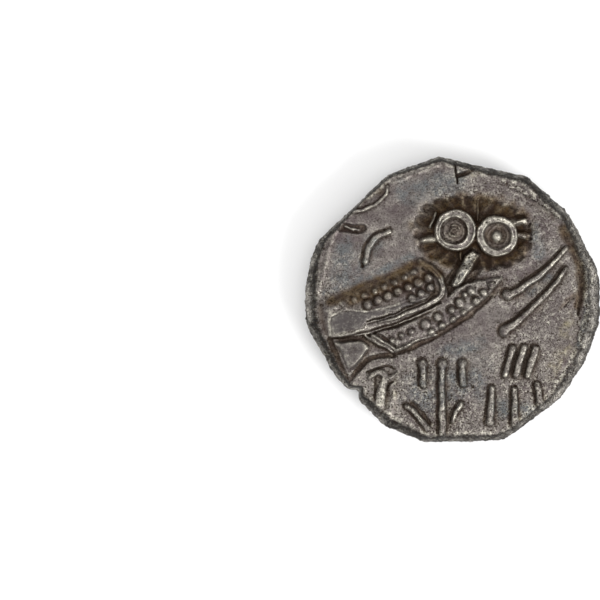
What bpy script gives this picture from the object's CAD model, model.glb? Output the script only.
import math
import bpy
import numpy as np
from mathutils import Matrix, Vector


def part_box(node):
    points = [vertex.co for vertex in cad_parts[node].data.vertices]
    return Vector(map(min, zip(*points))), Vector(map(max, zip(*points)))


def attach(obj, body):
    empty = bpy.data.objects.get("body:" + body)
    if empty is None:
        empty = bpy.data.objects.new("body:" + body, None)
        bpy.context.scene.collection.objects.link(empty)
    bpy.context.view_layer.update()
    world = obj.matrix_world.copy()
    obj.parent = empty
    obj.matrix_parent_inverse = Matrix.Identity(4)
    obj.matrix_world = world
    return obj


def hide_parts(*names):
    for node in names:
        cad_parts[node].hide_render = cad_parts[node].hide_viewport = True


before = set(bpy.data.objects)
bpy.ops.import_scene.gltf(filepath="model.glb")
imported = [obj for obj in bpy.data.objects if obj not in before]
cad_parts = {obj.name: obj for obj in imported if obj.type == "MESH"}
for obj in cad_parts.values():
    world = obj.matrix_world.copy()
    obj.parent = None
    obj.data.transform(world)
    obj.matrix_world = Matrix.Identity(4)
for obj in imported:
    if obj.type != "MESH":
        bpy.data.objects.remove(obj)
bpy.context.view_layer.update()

# A hand-struck silver coin, lying on its head side with the owl up.
# All shapes are worked out in millimetres. The owl side is x right, y up. The under side is seen from
# below, turned over about x, so its own drawing is u right, v up, with u = x and v = -y.
millimetre = 0.001

flan = {
    "radius": 8.5,
    # hammered flats round the edge: direction in degrees, distance from the centre
    "flats": ((28, 8.2), (48, 8.15), (77, 7.85), (109, 8.05), (133, 7.8), (156, 8.45), (210, 8.05),
              (225, 7.9), (248, 8.2), (271, 8.15), (306, 8.25), (327, 8.3), (339, 8.35), (359, 8.45)),
    "flatSharpness": 40.0,
    # how far the owl side stands back from the widest line of the edge: direction, distance
    "owlInset": ((0, 0.85), (25, 0.6), (45, 0.5), (75, 0.4), (100, 0.28), (133, 0.12), (150, 0.3),
                 (180, 0.7), (205, 0.5), (222, 0.35), (240, 0.6), (262, 0.4), (300, 0.4), (335, 0.7)),
    "headInset": 0.45,
    "edgeRounding": 2.4,
    "crackDirection": 223.5,
    "crackDepth": 0.35,
    "crackWidth": 2.2,
    "owlField": 2.8,
    "headField": 0.58,
    "doming": 0.0035,
}

relief = {
    "headMass": 0.66,
    "owlBody": 0.3,
    "owlHead": 0.42,
    "stroke": 0.27,
    "pellet": 0.2,
    "lip": 0.25,
    "moatWidth": 0.11,
    "moatShift": (-0.06, 0.05),   # the sunk line round a raised one is wider on its upper left
    "fineMoat": 0.07,
    "lineSoftness": 0.016,      # how far the owl side's raised lines are rounded
    "softness": 0.024,          # and all struck edges
}

sheet = {"half": 8.9, "pitch": 0.0275, "slack": 0.2}   # the drawing sheet of each face

finish = {
    "gridCuts": 430,        # squares along each side of a face before thinning
    "edgeRows": 26,
    "triangles": 196000,
}


# Noise: random numbers on a coarse lattice, joined by smooth cubic steps, read at each point
def latticeNoise(x, y, cell, seed):
    lattice = np.random.default_rng(seed).uniform(-1, 1, (128, 128))
    gx, gy = x / cell + 64.3, y / cell + 64.7
    ix, iy = np.floor(gx).astype(int), np.floor(gy).astype(int)
    fx, fy = gx - ix, gy - iy
    fx, fy = fx * fx * (3 - 2 * fx), fy * fy * (3 - 2 * fy)
    ix, iy, jx, jy = ix % 128, iy % 128, (ix + 1) % 128, (iy + 1) % 128
    low = lattice[iy, ix] * (1 - fx) + lattice[iy, jx] * fx
    high = lattice[jy, ix] * (1 - fx) + lattice[jy, jx] * fx
    return low * (1 - fy) + high * fy


# Sum of noises, each half the cell and about half the strength of the one before
def layeredNoise(x, y, cell, seed, layers=3):
    total = np.zeros_like(x)
    for layer in range(layers):
        total += latticeNoise(x, y, cell / 2 ** layer, seed + layer) * 0.55 ** layer
    return total


# Smooth curve through points: Catmull-Rom pieces between neighbours
def smoothLine(points, closed=False, steps=6):
    points = [np.array(point, float) for point in points]
    if closed:
        padded = points[-1:] + points + points[:2]
    else:
        padded = [2 * points[0] - points[1]] + points + [2 * points[-1] - points[-2]]
    line = []
    for before, start, end, after in zip(padded, padded[1:], padded[2:], padded[3:]):
        for step in range(steps):
            t = step / steps
            line.append(0.5 * (2 * start + (end - before) * t
                               + (2 * before - 5 * start + 4 * end - after) * t ** 2
                               + (3 * start - before - 3 * end + after) * t ** 3))
    if not closed:
        line.append(points[-1])
    return line


# Points on an oval, from one angle to another in degrees
def arcLine(centre, radii, first, last, count=24):
    angles = np.radians(np.linspace(first, last, count))
    return [(centre[0] + radii[0] * math.cos(a), centre[1] + radii[1] * math.sin(a)) for a in angles]


# The points turned about a centre, anticlockwise
def turned(points, centre, degrees):
    c, s = math.cos(math.radians(degrees)), math.sin(math.radians(degrees))
    moved = [(px - centre[0], py - centre[1]) for px, py in points]
    return [(centre[0] + px * c - py * s, centre[1] + px * s + py * c) for px, py in moved]


# A drawing sheet: three layers of height over the same points, on slightly wavering coordinates,
# so that every line looks cut by hand
def newSheet(seed):
    count = int(2 * sheet["half"] / sheet["pitch"]) + 1
    axis = np.linspace(-sheet["half"], sheet["half"], count)
    x, y = np.meshgrid(axis, axis)
    waver = 0.045
    wx = x + waver * latticeNoise(x, y, 0.75, seed) + 0.6 * waver * latticeNoise(x, y, 0.3, seed + 1)
    wy = y + waver * latticeNoise(x, y, 0.75, seed + 2) + 0.6 * waver * latticeNoise(x, y, 0.3, seed + 3)
    blank = np.zeros_like(x)
    return {"x": wx, "y": wy, "plainX": x, "plainY": y,
            "mass": blank.copy(), "raised": blank.copy(), "cut": blank.copy()}


# The part of the sheet that a shape near these points can touch
def windowOf(points, reach):
    points = np.array(points)
    low = points.min(axis=0) - reach - sheet["slack"]
    high = points.max(axis=0) + reach + sheet["slack"]
    start = np.maximum(((low + sheet["half"]) / sheet["pitch"]).astype(int), 0)
    stop = np.maximum(((high + sheet["half"]) / sheet["pitch"]).astype(int) + 2, 0)
    return slice(start[1], stop[1]), slice(start[0], stop[0])


# Distance to a line over its half width there: 0 on the line and 1 on its border
def nearness(x, y, line, startWidth, endWidth):
    runs = np.hypot(*np.diff(np.array(line), axis=0).T)
    marks = np.concatenate(([0], np.cumsum(runs))) / runs.sum()
    nearest = np.full(x.shape, np.inf)
    for (x0, y0), (x1, y1), mark0, mark1 in zip(line, line[1:], marks, marks[1:]):
        runX, runY = x1 - x0, y1 - y0
        along = np.clip(((x - x0) * runX + (y - y0) * runY) / (runX ** 2 + runY ** 2), 0, 1)
        gap = np.hypot(x - x0 - along * runX, y - y0 - along * runY)
        width = startWidth + (endWidth - startWidth) * (mark0 + (mark1 - mark0) * along)
        nearest = np.minimum(nearest, 2 * gap / width)
    return nearest


# Distance to an outline, above 0 inside it: a point is inside where a line to its left crosses it an odd
# number of times
def depthInside(x, y, outline):
    closed = list(outline) + [outline[0]]
    odd = np.zeros(x.shape, bool)
    for (x0, y0), (x1, y1) in zip(closed, closed[1:]):
        if y0 != y1:
            odd ^= ((y0 > y) != (y1 > y)) & (x < x0 + (y - y0) * (x1 - x0) / (y1 - y0))
    distance = nearness(x, y, closed, 2, 2)
    return np.where(odd, distance, -distance)


# From 0 to 1 as t goes from 0 to 1, level at both ends
def smoothStep(t):
    t = np.clip(t, 0, 1)
    return t * t * (3 - 2 * t)


# Cross-sections of a line, from its middle (near = 0) to its border (near = 1)
def roundTop(near):
    return np.sqrt(np.clip(1 - near ** 2, 0, 1))


def flatTop(near):
    return np.sqrt(np.clip(1 - near ** 4, 0, 1))


def softTop(near):
    return np.clip(1 - near ** 2, 0, 1) ** 2


# Shapes on one layer don't add up: the highest of them holds
def lay(face, layer, window, height):
    face[layer][window] = np.maximum(face[layer][window], height)


# A plate within an outline, rising over the bevel's width
def plate(face, outline, height, bevel, sharp=False):
    curve = outline if sharp else smoothLine(outline, closed=True)
    window = windowOf(curve, 0)
    rise = smoothStep(depthInside(face["x"][window], face["y"][window], curve) / bevel)
    lay(face, "mass", window, height * rise)


# The window that a round shape can touch, and the distance of each point there from its centre
def roundWindow(face, centre, reach):
    window = windowOf([centre], reach)
    return window, np.hypot(face["x"][window] - centre[0], face["y"][window] - centre[1])


# A round plate with a sloping border
def disc(face, centre, radius, height, bevel, layer="mass"):
    window, gap = roundWindow(face, centre, radius)
    lay(face, layer, window, height * smoothStep((radius - gap) / bevel))


# A raised line: the cross-section carried along it, with a fine sunk line round it
def ridge(face, points, width, height, endWidth=None, moat=None, shape=flatTop):
    line = smoothLine(points) if len(points) > 2 else points
    endWidth = endWidth or width
    moat = relief["fineMoat"] if moat is None else moat
    window = windowOf(line, max(width, endWidth) / 2)
    near = nearness(face["x"][window], face["y"][window], line, width, endWidth)
    lay(face, "raised", window, (height + moat) * shape(near))
    if moat:
        shiftX, shiftY = relief["moatShift"]
        around = [(px + shiftX, py + shiftY) for px, py in line]
        groove(face, around, width + 2 * relief["moatWidth"], moat, endWidth + 2 * relief["moatWidth"], flatTop)


# A low soft ridge with nothing sunk round it
def swell(face, points, width, height, endWidth=None):
    ridge(face, points, width, height, endWidth, 0, softTop)


# A sunk line: the cross-section carried along it, turned over
def groove(face, points, width, depth, endWidth=None, shape=roundTop):
    line = smoothLine(points) if 2 < len(points) < 10 else points
    endWidth = endWidth or width
    window = windowOf(line, max(width, endWidth) / 2)
    near = nearness(face["x"][window], face["y"][window], line, width, endWidth)
    lay(face, "cut", window, depth * shape(near))


# A round-topped dot, with a fine sunk line round it
def pellet(face, centre, radius, height, moat=None):
    moat = relief["fineMoat"] if moat is None else moat
    window, gap = roundWindow(face, centre, radius)
    lay(face, "raised", window, (height + moat) * roundTop(gap / radius))
    if moat:
        shiftX, shiftY = relief["moatShift"]
        hollow(face, (centre[0] + shiftX, centre[1] + shiftY), radius + relief["moatWidth"], moat, flatTop)


def hollow(face, centre, radius, depth, shape=softTop):
    window, gap = roundWindow(face, centre, radius)
    lay(face, "cut", window, depth * shape(gap / radius))


# A round-topped ring, raised or sunk, that strays a little from its circle
def ring(face, centre, radius, width, height, layer="raised"):
    window, gap = roundWindow(face, centre, radius + width)
    stray = 0.03 * latticeNoise(face["x"][window], face["y"][window], 0.42, 7)
    lay(face, layer, window, height * roundTop(2 * np.abs(gap - radius + stray) / width))


# Pellets at even steps from start to end, bowed upwards in the middle
def pelletRow(face, start, end, count, bow, radius, height, moat=None):
    for step in np.linspace(0, 1, count):
        lift = bow * 4 * step * (1 - step)
        centre = (start[0] + (end[0] - start[0]) * step, start[1] + (end[1] - start[1]) * step + lift)
        pellet(face, centre, radius, height, moat)


# The owl's head: two ringed eyes on a raised mask, in a sunk fringe of soft feathers
owlHead = {
    "leftEye": (0.1, 4.01),
    "rightEye": (2.5, 3.68),
    "fringeCentre": (1.1, 3.85),
    "fringeRadii": (3.22, 2.0),
    "fringeSquareness": 2.4,        # 2 is an oval, more is squarer
    "fringeTilt": -6,
    "lobes": 20,
    "scallop": 0.085,
    "fringeDepth": 0.17,
    "partingHeight": 0.06,          # thin ridges between the feathers
    # bold rays beside the eyes: inner end, outer end, width at each
    "rays": (((-1.05, 3.5), (-1.75, 3.4), 0.6, 0.5), ((-1.34, 4.2), (-1.02, 5.0), 0.3, 0.22),
             ((3.35, 4.38), (4.1, 4.5), 0.7, 0.5), ((3.78, 3.7), (4.05, 3.62), 0.44, 0.4)),
}


# Smooth flat plates beside the tail, in a darker and quieter tone than the field
owlPlates = {
    "panel": [(-7.12, -0.93), (-6.5, -0.66), (-5.9, -0.56), (-5.0, -0.64), (-4.2, -0.52), (-3.43, -0.31),
              (-2.66, -0.06), (-2.1, 0.1), (-1.6, 0.3), (-1.4, 0.2), (-1.8, -0.1), (-2.56, -0.44),
              (-3.67, -0.8), (-4.85, -1.14), (-5.25, -1.72), (-7.0, -2.08), (-7.16, -1.5)],
    "tail": [(-6.85, -2.4), (-6.68, -2.75), (-6.5, -3.15), (-6.3, -3.7), (-5.97, -4.08), (-5.61, -3.85),
             (-5.23, -3.44), (-4.94, -3.0), (-4.79, -2.7), (-5.18, -2.3), (-5.75, -2.25)],
}


# Points at even steps along the fringe's border: a squared oval, |x/a|^n + |y/b|^n = 1, turned
def fringePoints(scale, shares):
    angles = np.radians(np.arange(0, 361, 2))
    power = 2 / owlHead["fringeSquareness"]
    ovalX = owlHead["fringeRadii"][0] * np.sign(np.cos(angles)) * np.abs(np.cos(angles)) ** power
    ovalY = owlHead["fringeRadii"][1] * np.sign(np.sin(angles)) * np.abs(np.sin(angles)) ** power
    along = np.concatenate(([0], np.cumsum(np.hypot(np.diff(ovalX), np.diff(ovalY)))))
    places = np.mod(shares, 1) * along[-1]
    centreX, centreY = owlHead["fringeCentre"]
    oval = [(centreX + scale * px, centreY + scale * py)
            for px, py in zip(np.interp(places, along, ovalX), np.interp(places, along, ovalY))]
    return turned(oval, owlHead["fringeCentre"], owlHead["fringeTilt"])


# The sunk fringe with its scalloped border, a hollow for each feather and the rays beside the eyes
def carveFringe(face):
    lobes = owlHead["lobes"]
    scallops = []
    for lobe in range(lobes):
        scallops += fringePoints(1, [lobe / lobes])
        shares = [(lobe + share) / lobes for share in (0.22, 0.5, 0.78)]
        scallops += fringePoints(1 + owlHead["scallop"], shares)
    window = windowOf(scallops, 0)
    fringe = smoothStep(depthInside(face["x"][window], face["y"][window], scallops) / 0.24)
    lay(face, "cut", window, owlHead["fringeDepth"] * fringe)
    for lobe in range(lobes):
        root, tip = [fringePoints(scale, [lobe / lobes])[0] for scale in (0.6, 0.97)]
        swell(face, [root, tip], 0.26, owlHead["partingHeight"])
        root, tip = [fringePoints(scale, [(lobe + 0.5) / lobes])[0] for scale in (0.74, 0.9)]
        groove(face, [root, tip], 0.74, owlHead["fringeDepth"] + 0.06, shape=softTop)
    for inner, outer, width, endWidth in owlHead["rays"]:
        swell(face, [inner, outer], width, 0.34, endWidth)
    swell(face, [(-1.15, 3.97), (-2.2, 3.97)], 0.7, 0.16)
    plate(face, [(3.15, 4.28), (3.45, 4.6), (3.8, 4.7), (4.15, 4.74), (4.5, 4.68), (4.15, 4.5), (3.85, 4.36),
                 (3.55, 4.16), (3.3, 4.1)], 0.3, 0.2, sharp=True)
    plate(face, [(3.6, 3.92), (4.0, 4.02), (4.35, 3.96), (4.5, 3.76), (4.38, 3.56), (4.0, 3.5), (3.6, 3.54)],
          0.22, 0.2)
    disc(face, (3.98, 2.95), 0.42, 0.12, 0.3)
    groove(face, [(3.48, 4.14), (3.72, 4.02), (3.95, 4.18), (4.2, 4.16), (4.4, 4.4)], 0.14, 0.16)
    groove(face, [(3.6, 4.0), (3.95, 3.88), (4.2, 3.74)], 0.1, 0.1)
    groove(face, [(3.55, 3.48), (4.05, 3.44), (4.42, 3.54)], 0.2, 0.16)
    groove(face, [(-1.1, 3.27), (-1.9, 3.18)], 0.3, 0.1, shape=softTop)
    halo = fringePoints(1.16, np.arange(0, 1, 0.04))
    window = windowOf(halo, 0.5)
    near = nearness(face["x"][window], face["y"][window], halo + halo[:1], 0.9, 0.9)
    lay(face, "raised", window, 0.04 * softTop(near))


# Two rings on each eye plate, a sunk pupil in each, and the ridge between them
def carveOwlEyes(face):
    leftEye, rightEye = owlHead["leftEye"], owlHead["rightEye"]
    inner = (leftEye[0] - 0.08, leftEye[1] - 0.04)
    for eye in (leftEye, rightEye):
        disc(face, eye, 1.27, relief["owlHead"], 0.16)
    plate(face, [(-0.9, 4.4), (0.2, 5.05), (1.35, 4.5), (2.6, 4.75), (3.45, 4.1),
                 (2.5, 2.6), (1.75, 2.8), (1.25, 3.1), (0.8, 2.95), (0.1, 2.95)], relief["owlHead"], 0.3)
    bare = 1 - face["mass"] / relief["owlHead"]
    face["cut"] *= bare
    face["raised"] *= bare
    swell(face, [(1.36, 4.6), (1.42, 5.2), (1.44, 5.85)], 0.2, 0.2, 0.12)
    ring(face, leftEye, 1.13, 0.17, 0.28)
    ring(face, inner, 0.84, 0.14, 0.26)
    disc(face, leftEye, 1.08, 0.15, 0.06, "raised")
    ring(face, inner, 0.69, 0.24, 0.17, layer="cut")
    hollow(face, inner, 0.7, 0.12, flatTop)
    ring(face, (inner[0] + 0.04, inner[1] - 0.02), 0.52, 0.08, 0.19)
    for first, last, radius in ((20, 110, 0.36), (200, 300, 0.32), (60, 190, 0.18)):
        ridge(face, arcLine(inner, (radius, radius), first, last, 6), 0.2, 0.34, 0.12, 0, roundTop)
    disc(face, rightEye, 1.2, 0.2, 0.06, "raised")
    ring(face, rightEye, 1.13, 0.15, 0.27)
    ring(face, rightEye, 0.87, 0.14, 0.28)
    swell(face, arcLine(rightEye, (1.02, 1.02), 40, 120, 8), 0.42, 0.28)
    hollow(face, rightEye, 0.82, 0.34, flatTop)
    ring(face, (rightEye[0] + 0.02, rightEye[1] - 0.04), 0.56, 0.1, 0.28)
    pellet(face, (rightEye[0] - 0.03, rightEye[1] - 0.03), 0.36, 0.46, moat=0)


# The beak runs down to the left from between the eyes, with a sunk line on each side
def carveBeak(face):
    plate(face, [(0.62, 2.6), (1.1, 2.95), (1.55, 2.62), (1.3, 2.1), (1.0, 1.55), (0.62, 1.05), (0.3, 0.72),
                 (-0.05, 0.66), (-0.14, 0.92), (0.12, 1.42), (0.36, 1.95)], 0.42, 0.16, sharp=True)
    ridge(face, [(1.36, 2.55), (1.08, 2.02), (0.76, 1.45), (0.24, 0.82)], 0.2, 0.12, 0.16, 0)
    groove(face, [(0.5, 2.6), (0.26, 1.95), (0.0, 1.4), (-0.22, 0.9)], 0.2, 0.14, 0.16)
    ridge(face, [(0.42, 2.72), (0.46, 2.3)], 0.16, 0.3, 0.1)
    groove(face, [(0.98, 2.98), (1.24, 3.3), (1.5, 2.98)], 0.14, 0.24)
    groove(face, [(1.85, 2.5), (1.42, 1.75), (0.95, 1.0)], 0.46, 0.13, shape=softTop)
    groove(face, [(0.35, 2.5), (0.05, 1.7), (-0.4, 1.1)], 0.4, 0.1, shape=softTop)


# The wing: rows of pellets above a smooth panel, inside a collar that bends round its right end
def carveWing(face):
    body, dot = relief["owlBody"], relief["pellet"]
    plate(face, [(-7.7, -0.1), (-7.05, 0.3), (-5.73, 0.78), (-4.4, 1.24), (-3.22, 1.76), (-2.34, 2.18),
                 (-1.8, 2.36), (-0.9, 1.8), (-0.2, 0.9), (-0.4, -0.25), (-2.0, -1.1), (-4.6, -2.0),
                 (-7.2, -2.25)], body, 0.62)
    panel = owlPlates["panel"]
    plate(face, panel, body + 0.1, 0.1, sharp=True)
    ridge(face, panel + panel[:1], 0.11, 0.07, moat=0, shape=roundTop)
    plate(face, [(-7.02, -1.3), (-5.0, -0.9), (-2.6, -0.1), (-0.9, 0.9), (-0.3, 0.7), (-0.5, -0.2),
                 (-2.0, -1.0), (-4.6, -1.9), (-5.9, -2.12), (-7.0, -2.2), (-7.08, -1.9)], body, 0.1)
    pelletRow(face, (-5.66, 0.02), (-2.25, 1.62), 7, -0.1, 0.21, 0.14, 0.09)
    pelletRow(face, (-4.92, -0.26), (-1.45, 1.25), 7, -0.05, 0.27, dot + 0.03, 0.11)
    pelletRow(face, (-2.36, 0.06), (-1.33, 0.68), 3, 0.0, 0.24, dot, 0.1)
    collar = [(-1.9, 2.28), (-1.3, 1.85), (-0.78, 1.25), (-0.6, 0.65), (-0.85, 0.1),
              (-1.7, -0.4), (-3.0, -0.9), (-4.3, -1.32)]
    ridge(face, collar[1:], 0.38, 0.34, 0.12, 0, flatTop)
    swell(face, collar[:3], 0.5, 0.34)
    groove(face, collar, 0.08, 0.09)
    inner = [(-1.8, 1.85), (-1.38, 1.45), (-1.15, 0.9), (-1.17, 0.42), (-1.65, -0.05), (-2.56, -0.44),
             (-3.67, -0.88), (-4.95, -1.27)]
    groove(face, inner, 0.11, 0.12)
    groove(face, [(px + 0.06, py - 0.15) for px, py in inner[3:]], 0.07, 0.1)
    ridge(face, [(px - 0.02, py - 0.07) for px, py in inner[3:]], 0.07, 0.09, moat=0, shape=roundTop)
    swell(face, [(-7.3, -0.6), (-6.75, -0.42)], 0.36, 0.14)
    swell(face, [(-6.5, -0.2), (-6.15, -0.5)], 0.3, 0.12)
    groove(face, [(-6.35, 0.05), (-5.85, -0.32)], 0.22, 0.1, shape=softTop)
    groove(face, [(-7.2, -2.22), (-6.2, -2.1), (-5.17, -1.84), (-4.2, -1.6), (-3.0, -1.2), (-1.9, -0.72),
                  (-0.8, -0.16)], 0.13, 0.17)


# The breast: a long leaf below the wing, with loose pellets and a double line at its lower end
def carveBreast(face):
    body, dot = relief["owlBody"], relief["pellet"]
    plate(face, [(-4.9, -2.0), (-3.0, -1.35), (-1.2, -0.45), (-0.3, 0.4), (0.7, 1.0), (2.9, 1.35),
                 (2.1, 0.3), (1.3, -0.45), (0.4, -1.1), (-0.8, -1.8), (-2.0, -2.4), (-3.4, -3.05)], body, 0.2)
    pelletRow(face, (-3.55, -2.33), (-2.41, -1.86), 3, 0.02, 0.2, dot, 0.08)
    for centre, size in (((-1.6, -1.37), 0.29), ((-0.86, -1.0), 0.24), ((-0.1, -0.55), 0.2),
                         ((0.39, -0.15), 0.24), ((0.98, 0.48), 0.23), ((1.31, -0.11), 0.22),
                         ((1.72, 0.4), 0.22), ((2.16, 0.83), 0.2), ((0.62, 0.3), 0.15)):
        pellet(face, centre, 1.12 * size, dot + 0.02, 0.11)
    pelletRow(face, (-1.27, -1.86), (0.61, -0.72), 4, -0.04, 0.22, dot, 0.07)
    ridge(face, [(-5.05, -2.02), (-4.3, -2.55), (-3.45, -3.03)], 0.17, 0.16, 0.12)
    ridge(face, [(-4.7, -1.95), (-4.0, -2.45), (-3.25, -2.88)], 0.15, 0.14, 0.1)
    groove(face, [(-4.55, -1.85), (-3.9, -2.28), (-3.3, -2.7)], 0.2, 0.14)
    ridge(face, [(-3.3, -2.95), (-2.2, -2.4), (-1.0, -1.95)], 0.17, 0.15, 0.1)
    groove(face, [(-3.4, -3.2), (-2.1, -2.66), (-0.7, -1.95), (0.5, -1.25), (1.4, -0.55), (2.2, 0.25)],
           0.26, 0.1, shape=softTop)
    groove(face, [(-0.1, -1.95), (-0.02, -2.15), (-0.14, -2.3)], 0.08, 0.06)


def carveTailAndClaw(face):
    plate(face, owlPlates["tail"], relief["owlBody"], 0.2)
    ridge(face, [(-6.52, -3.1), (-6.33, -3.75), (-5.98, -4.02), (-5.6, -3.75)], 0.12, 0.05, 0.1, 0)
    groove(face, [(-7.15, -2.3), (-6.85, -3.0), (-6.55, -3.8), (-6.1, -4.6)], 0.36, 0.2, 0.5)
    groove(face, [(-3.41, -3.19), (-4.31, -3.27), (-4.99, -3.53), (-5.51, -4.06), (-5.95, -4.7)], 0.34, 0.17)
    talon = [(-4.85, -4.5), (-4.6, -4.26), (-4.28, -4.17), (-3.98, -4.3), (-3.95, -4.6), (-4.06, -4.95),
             (-4.14, -5.4), (-4.2, -6.0)]
    ridge(face, talon, 0.2, 0.22, 0.66, 0)
    ridge(face, [(px + 0.08, py - 0.06) for px, py in talon[3:]], 0.1, 0.27, 0.2, 0, roundTop)
    swell(face, [(-3.75, -4.55), (-3.2, -4.22)], 0.42, 0.2, 0.2)
    groove(face, [(-4.97, -4.19), (-4.31, -3.95), (-3.79, -3.82), (-3.34, -3.98)], 0.22, 0.11, 0.16, softTop)
    groove(face, [(-4.5, -4.5), (-4.47, -5.0), (-4.46, -5.75)], 0.26, 0.1, 0.2, softTop)
    groove(face, [(-3.52, -4.72), (-3.7, -4.85), (-3.84, -5.14)], 0.1, 0.16, 0.16)
    swell(face, [(-3.5, -4.9), (-3.45, -5.7), (-3.75, -6.6)], 0.7, 0.1)


# The crescent, and the broken forms at the upper left border
def carveSprig(face):
    ridge(face, [(-5.02, 2.25), (-4.85, 3.0), (-4.42, 3.58), (-3.68, 3.97)], 0.42, 0.24, 0.32)
    groove(face, [(-5.2, 2.0), (-5.1, 2.75), (-4.8, 3.35)], 0.34, 0.14, shape=softTop)
    ridge(face, [(-5.7, 5.08), (-5.0, 5.25), (-4.35, 5.55), (-3.9, 6.05), (-3.8, 6.5)], 0.2, 0.22)
    groove(face, [(-5.2, 5.75), (-4.3, 6.25)], 1.0, 0.12, shape=softTop)
    groove(face, [(-6.4, 4.15), (-5.85, 4.1), (-5.25, 4.12)], 0.56, 0.2)
    ridge(face, [(-6.2, 4.2), (-5.75, 4.05)], 0.16, 0.2, 0.2, 0, roundTop)
    ridge(face, [(-5.75, 4.12), (-5.4, 4.08)], 0.2, 0.18, 0.1, 0, roundTop)


# Plain strokes where the inscription stood
def carveMarks(face):
    height = relief["stroke"]
    for stroke in ([(3.15, 0.3), (3.9, 0.65), (5.5, 1.85), (6.5, 3.0)],
                   [(2.9, -1.8), (4.0, -0.95), (5.6, 0.6), (6.5, 1.75)]):
        ridge(face, stroke, 0.42, height, 0.22)
        groove(face, [(px - 0.18, py + 0.19) for px, py in stroke], 0.3, 0.08, 0.16, softTop)
        pellet(face, stroke[0], 0.31, height)
    for step in range(3):
        foot = (2.95 + 0.65 * step, -4.3)
        ridge(face, [foot, (foot[0] + 0.5, foot[1] + 1.5)], 0.38, height)
    for head, foot in (((2.25, -5.1), (2.1, -7.0)), ((3.5, -5.15), (3.55, -7.1)), ((4.8, -4.9), (5.0, -5.9))):
        ridge(face, [head, foot], 0.34, height, 0.42)
        pellet(face, foot, 0.27, height)
    for column, foot in ((-1.75, -4.85), (-0.65, -7.8), (0.55, -4.85)):
        ridge(face, [(column, -3.7), (column, foot)], 0.35, height, 0.42)
        pellet(face, (column, -3.7), 0.28, height)
    ridge(face, [(-2.7, -6.1), (-2.3, -6.36), (-1.92, -6.84), (-1.5, -7.4)], 0.26, height, 0.34)
    groove(face, [(-2.4, -5.9), (-1.82, -6.46), (-1.35, -7.1)], 0.36, 0.1, shape=softTop)
    ridge(face, [(0.4, -6.0), (0.1, -6.5), (-0.1, -7.0)], 0.3, height, 0.22)


# The raised lip at the right with the valley inside it, the crack at the top and low swells at the left
def carveOwlBorder(face):
    lip = smoothLine([(4.7, 6.4), (6.4, 5.0), (7.6, 3.0), (8.05, 1.0), (8.0, -1.0), (7.6, -3.0)])
    slope = smoothStep(1 - nearness(face["x"], face["y"], lip, 1.6, 1.6))
    face["mass"] = np.maximum(face["mass"], relief["lip"] * slope)
    groove(face, [(6.3, 4.1), (6.95, 2.78), (7.27, 1.9), (7.35, 1.0)], 0.8, 0.17, shape=softTop)
    groove(face, [(7.27, 1.9), (7.35, 1.0), (7.32, 0.2), (7.2, -0.8)], 0.8, 0.16, 0.2, softTop)
    for end in ((6.5, 0.0), (6.35, -0.45), (6.9, -0.7)):
        groove(face, [(7.2, 0.35), end], 0.26, 0.06, 0.12, softTop)
    groove(face, [(0.1, 8.0), (0.14, 7.55), (0.2, 7.14), (0.28, 6.72)], 0.12, 0.24, 0.08)
    groove(face, [(0.25, 6.6), (0.46, 6.04)], 0.06, 0.06)
    groove(face, [(0.27, 7.12), (0.75, 7.27), (1.2, 7.45), (1.6, 7.44)], 0.3, 0.2, 0.14)
    ridge(face, [(0.55, 7.46), (1.05, 7.6), (1.45, 7.66)], 0.14, 0.08, moat=0)
    swell(face, [(-7.8, 0.4), (-7.4, 2.0), (-7.0, 3.4), (-6.4, 4.3)], 0.36, 0.09)
    swell(face, [(-3.5, 6.75), (-2.2, 7.3), (-0.9, 7.75)], 0.3, 0.08)
    for angle in (36, 31, 25, 19):
        start = arcLine((0, 0), (6.3, 6.3), angle, angle, 1)
        end = arcLine((0, 0), (7.5, 7.5), angle + 2, angle + 2, 1)
        swell(face, start + end, 0.22, 0.03)


# Soft blur: each point becomes the bell-weighted mean of its neighbours, along rows and then columns
def blurred(height, radius):
    steps = int(3 * radius / sheet["pitch"]) + 1
    reach = np.arange(-steps, steps + 1) * sheet["pitch"]
    weights = np.exp(-0.5 * (reach / radius) ** 2)
    weights /= weights.sum()
    padded = np.pad(height, steps, mode="edge")
    rows = sum(w * padded[:, k:k + height.shape[1]] for k, w in enumerate(weights))
    return sum(w * rows[k:k + height.shape[0], :] for k, w in enumerate(weights))


# Slow dents, finer unevenness and small pits of struck, long-buried silver; coarser where it is rough
def surfaceWear(face, seed, rough):
    x, y = face["plainX"], face["plainY"]
    dents = 0.03 * layeredNoise(x, y, 2.6, seed) + (0.014 + 0.02 * rough) * layeredNoise(x, y, 0.8, seed + 10)
    along, across = 0.62 * x + 0.78 * y, 0.78 * x - 0.62 * y   # lines of flow up to the right, beside the head
    beside = np.exp(-((x - 5.7) ** 2 + (y - 3) ** 2) / 7)
    dents += 0.016 * latticeNoise(0.16 * along, across, 0.15, seed + 12) * beside
    grain = 0.007 * latticeNoise(x, y, 0.14, seed + 15)
    grain += 0.085 * (face["raised"] + 0.3 * face["mass"]) * layeredNoise(x, y, 0.26, seed + 17, 2)
    pits = np.clip(latticeNoise(x, y, 0.16, seed + 20) - 0.72, 0, 1) * 0.05
    crumbs = layeredNoise(x, y, 0.26, seed + 25, 2)
    return dents + grain - pits + 0.075 * rough * crumbs


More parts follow.
